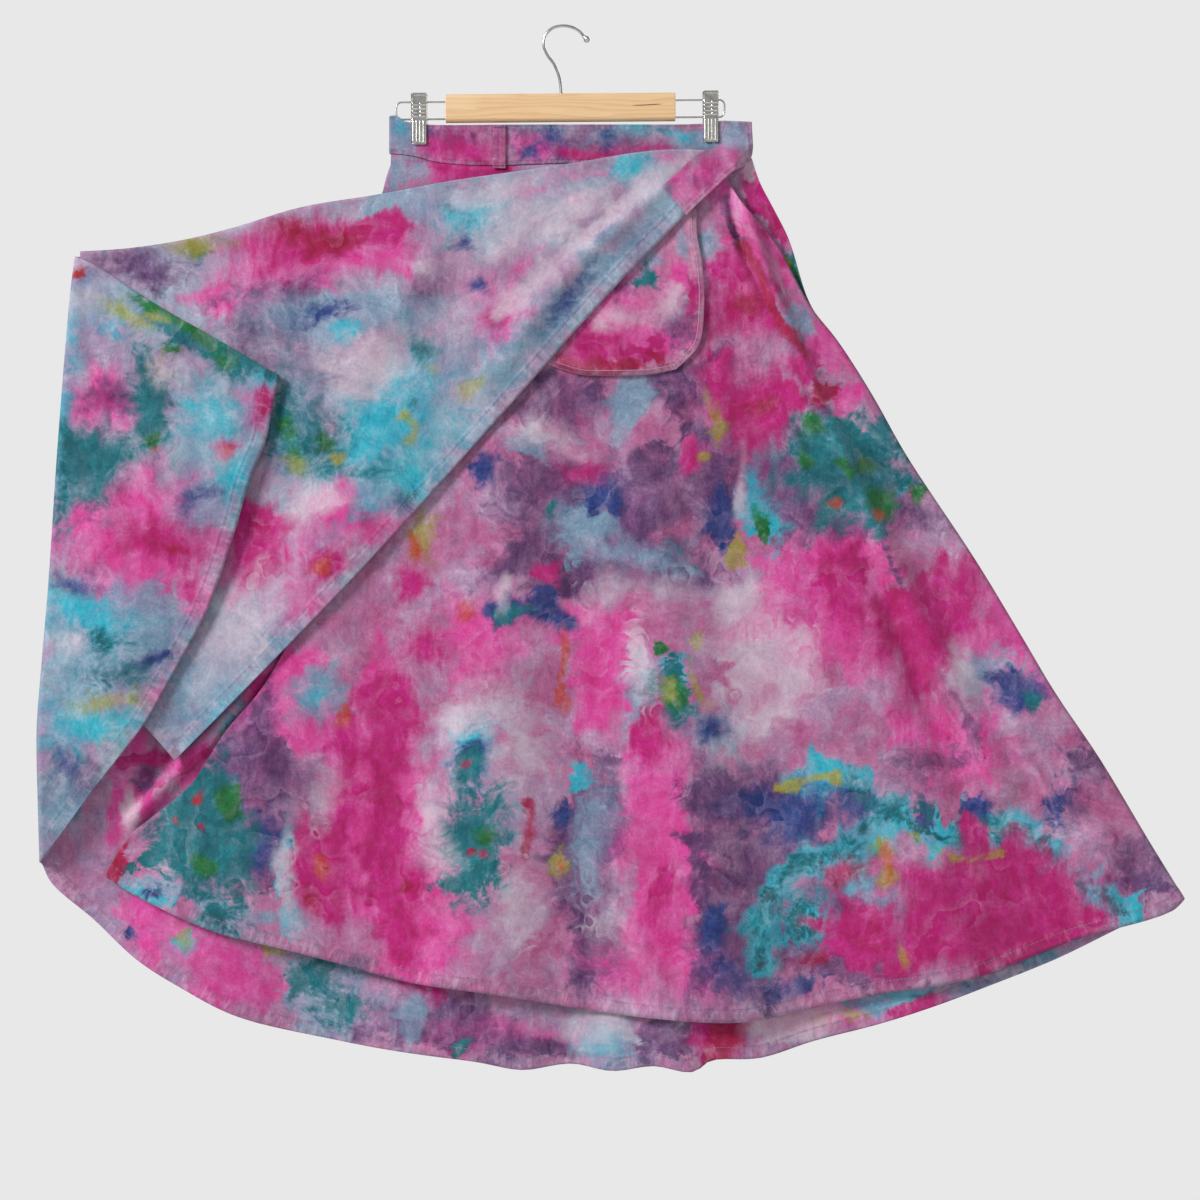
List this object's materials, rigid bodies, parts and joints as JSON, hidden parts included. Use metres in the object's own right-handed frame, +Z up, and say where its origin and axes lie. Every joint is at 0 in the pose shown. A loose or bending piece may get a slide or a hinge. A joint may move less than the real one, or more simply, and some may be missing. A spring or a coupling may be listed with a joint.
{
  "type": "wrap skirt on a clip hanger",
  "caption": "Flared wrap skirt with one front turned back across the other, hanging flat from a wooden hanger with wire rails and spring clips.",
  "frame": {"origin": "inner top of the hanger's hook, where the rail carries it", "axes": "+X to the right along the hanger as seen from the front, +Y to the back, +Z up"},
  "size_m": [1.1474, 0.0386, 1.048],
  "materials": {
    "cloth": "ice-dyed plain cotton, right side, matte",
    "cloth_inside": "ice-dyed plain cotton, paler wrong side, matte",
    "pine": "clear varnished pine, satin",
    "steel": "nickel-plated steel"
  },
  "bodies": {
    "root": {"back_panel": "cloth_inside", "front_panel": "cloth", "over_front": "cloth_inside", "side_turn": "cloth", "waistband_front": "cloth", "waistband_back": "cloth", "waistband_end": "cloth", "belt_loop": "cloth", "pocket_bag": "cloth_inside", "hanger_bar": "pine", "hanger_hook": "steel", "hook_ball": "steel", "rail_left": "steel", "rail_right": "steel", "clip_left_front": "steel", "clip_left_back": "steel", "clip_right_front": "steel", "clip_right_back": "steel", "spring_left": "steel", "spring_right": "steel"}
  },
  "joints": []
}
